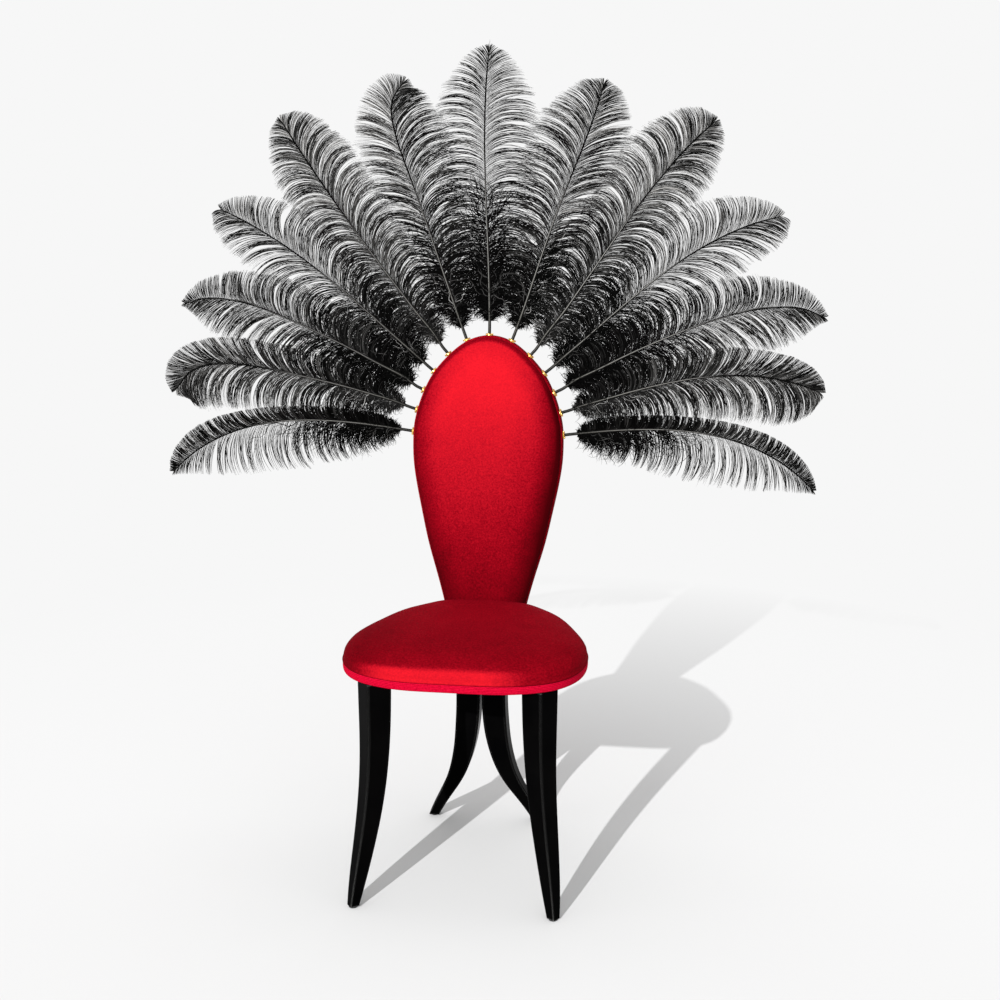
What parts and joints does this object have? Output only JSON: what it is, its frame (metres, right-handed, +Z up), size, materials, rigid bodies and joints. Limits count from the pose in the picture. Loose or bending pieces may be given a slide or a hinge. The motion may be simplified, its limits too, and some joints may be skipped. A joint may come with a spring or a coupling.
{
  "type": "plumed side chair",
  "caption": "Upholstered side chair with sabre legs and a teardrop back whose rim holds a fan of ostrich plumes in small sockets.",
  "frame": {"origin": "on the floor, under the middle of the overall box of the chair with its plumes", "axes": "+Z up, the sitter faces -Y, +X to the right seen from the front"},
  "size_m": [1.3012, 0.5407, 1.5285],
  "materials": {
    "red_velvet": "matte",
    "red_band": "matte",
    "black_cloth": "matte",
    "foam": "matte",
    "plywood": "matte",
    "black_lacquer": "gloss",
    "black_nylon": "matte",
    "steel": "satin",
    "brass": "polished",
    "quill": "satin",
    "ostrich_barbs": "matte"
  },
  "bodies": {
    "chair": {"back_border": "red_velvet", "back_core": "plywood", "back_cover": "red_velvet", "back_foam": "foam", "back_rear_cover": "red_velvet", "back_straps": "steel", "back_wadding": "foam", "front_leg_left": "black_lacquer", "front_leg_right": "black_lacquer", "leg_bolts": "steel", "leg_glides": "black_nylon", "leg_plates": "steel", "leg_tee_nuts": "steel", "quill_sockets": "brass", "rear_leg_left": "black_lacquer", "rear_leg_right": "black_lacquer", "seat_band": "red_band", "seat_board": "plywood", "seat_cover": "red_velvet", "seat_dust_cover": "black_cloth", "seat_foam": "foam", "strap_screws": "steel"},
    "plume_centre": {"plume_centre_quill": "quill", "plume_centre_vane": "ostrich_barbs"},
    "plume_left_1": {"plume_left_1_quill": "quill", "plume_left_1_vane": "ostrich_barbs"},
    "plume_right_1": {"plume_right_1_quill": "quill", "plume_right_1_vane": "ostrich_barbs"},
    "plume_left_2": {"plume_left_2_quill": "quill", "plume_left_2_vane": "ostrich_barbs"},
    "plume_right_2": {"plume_right_2_quill": "quill", "plume_right_2_vane": "ostrich_barbs"},
    "plume_left_3": {"plume_left_3_quill": "quill", "plume_left_3_vane": "ostrich_barbs"},
    "plume_right_3": {"plume_right_3_quill": "quill", "plume_right_3_vane": "ostrich_barbs"},
    "plume_left_4": {"plume_left_4_quill": "quill", "plume_left_4_vane": "ostrich_barbs"},
    "plume_right_4": {"plume_right_4_quill": "quill", "plume_right_4_vane": "ostrich_barbs"},
    "plume_left_5": {"plume_left_5_quill": "quill", "plume_left_5_vane": "ostrich_barbs"},
    "plume_right_5": {"plume_right_5_quill": "quill", "plume_right_5_vane": "ostrich_barbs"},
    "plume_left_6": {"plume_left_6_quill": "quill", "plume_left_6_vane": "ostrich_barbs"},
    "plume_right_6": {"plume_right_6_quill": "quill", "plume_right_6_vane": "ostrich_barbs"}
  },
  "joints": [
    {"name": "plume_centre_pull", "type": "slide", "parent": "chair", "child": "plume_centre", "axis": [0, 0.108, 0.9942], "range_m": [0, 0.036]},
    {"name": "plume_left_1_pull", "type": "slide", "parent": "chair", "child": "plume_left_1", "axis": [-0.3502, 0.1012, 0.9312], "range_m": [0, 0.036]},
    {"name": "plume_right_1_pull", "type": "slide", "parent": "chair", "child": "plume_right_1", "axis": [0.3502, 0.1012, 0.9312], "range_m": [0, 0.036]},
    {"name": "plume_left_2_pull", "type": "slide", "parent": "chair", "child": "plume_left_2", "axis": [-0.6401, 0.083, 0.7638], "range_m": [0, 0.036]},
    {"name": "plume_right_2_pull", "type": "slide", "parent": "chair", "child": "plume_right_2", "axis": [0.6401, 0.083, 0.7638], "range_m": [0, 0.036]},
    {"name": "plume_left_3_pull", "type": "slide", "parent": "chair", "child": "plume_left_3", "axis": [-0.7716, 0.0687, 0.6324], "range_m": [0, 0.036]},
    {"name": "plume_right_3_pull", "type": "slide", "parent": "chair", "child": "plume_right_3", "axis": [0.7716, 0.0687, 0.6324], "range_m": [0, 0.036]},
    {"name": "plume_left_4_pull", "type": "slide", "parent": "chair", "child": "plume_left_4", "axis": [-0.8788, 0.0515, 0.4744], "range_m": [0, 0.036]},
    {"name": "plume_right_4_pull", "type": "slide", "parent": "chair", "child": "plume_right_4", "axis": [0.8788, 0.0515, 0.4744], "range_m": [0, 0.036]},
    {"name": "plume_left_5_pull", "type": "slide", "parent": "chair", "child": "plume_left_5", "axis": [-0.9511, 0.0334, 0.3072], "range_m": [0, 0.036]},
    {"name": "plume_right_5_pull", "type": "slide", "parent": "chair", "child": "plume_right_5", "axis": [0.9511, 0.0334, 0.3072], "range_m": [0, 0.036]},
    {"name": "plume_left_6_pull", "type": "slide", "parent": "chair", "child": "plume_left_6", "axis": [-0.9914, 0.0141, 0.1298], "range_m": [0, 0.036]},
    {"name": "plume_right_6_pull", "type": "slide", "parent": "chair", "child": "plume_right_6", "axis": [0.9914, 0.0141, 0.1298], "range_m": [0, 0.036]}
  ]
}
